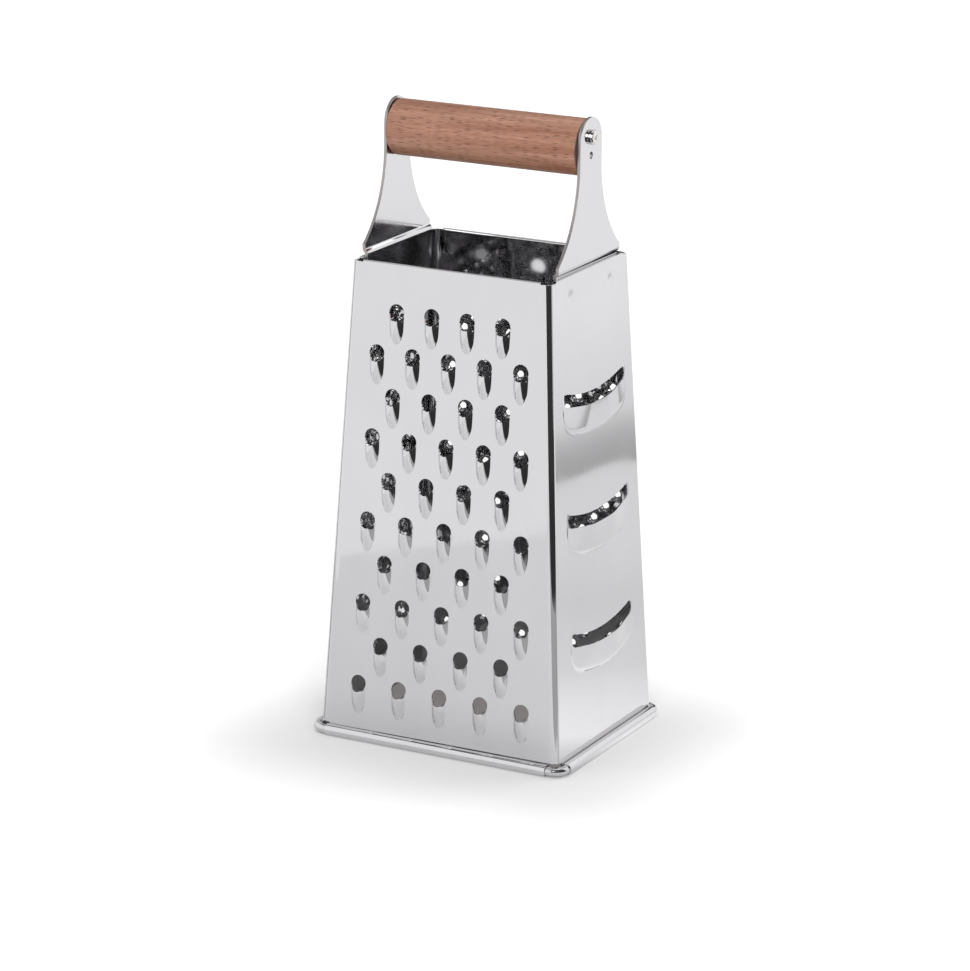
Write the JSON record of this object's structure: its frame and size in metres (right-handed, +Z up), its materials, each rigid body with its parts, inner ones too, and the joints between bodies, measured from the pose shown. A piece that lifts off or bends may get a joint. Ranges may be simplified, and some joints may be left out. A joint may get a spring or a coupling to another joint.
{
  "type": "box grater",
  "caption": "Four-sided box grater: a tapered sheet-steel body with coarse, medium, fine and slicing faces on a wire foot, and a wooden bar handle between two brackets.",
  "frame": {"origin": "on the floor, under the middle of the body", "axes": "+Z up, the coarse face looks along -Y, the slicing face along +X and the handle lies along X"},
  "size_m": [0.1138, 0.0908, 0.25],
  "materials": {
    "body_steel": "bright rolled stainless sheet, polished",
    "bracket_steel": "bright stainless strip, polished",
    "wire_steel": "drawn stainless wire, polished",
    "screw_steel": "bright pan-head screw",
    "beech": "turned beech, thin satin lacquer"
  },
  "bodies": {
    "root": {"front_panel": "body_steel", "back_panel": "body_steel", "left_panel": "body_steel", "right_panel": "body_steel", "base_wire": "wire_steel", "left_bracket": "bracket_steel", "right_bracket": "bracket_steel", "handle": "beech", "left_screw": "screw_steel", "right_screw": "screw_steel"}
  },
  "joints": []
}
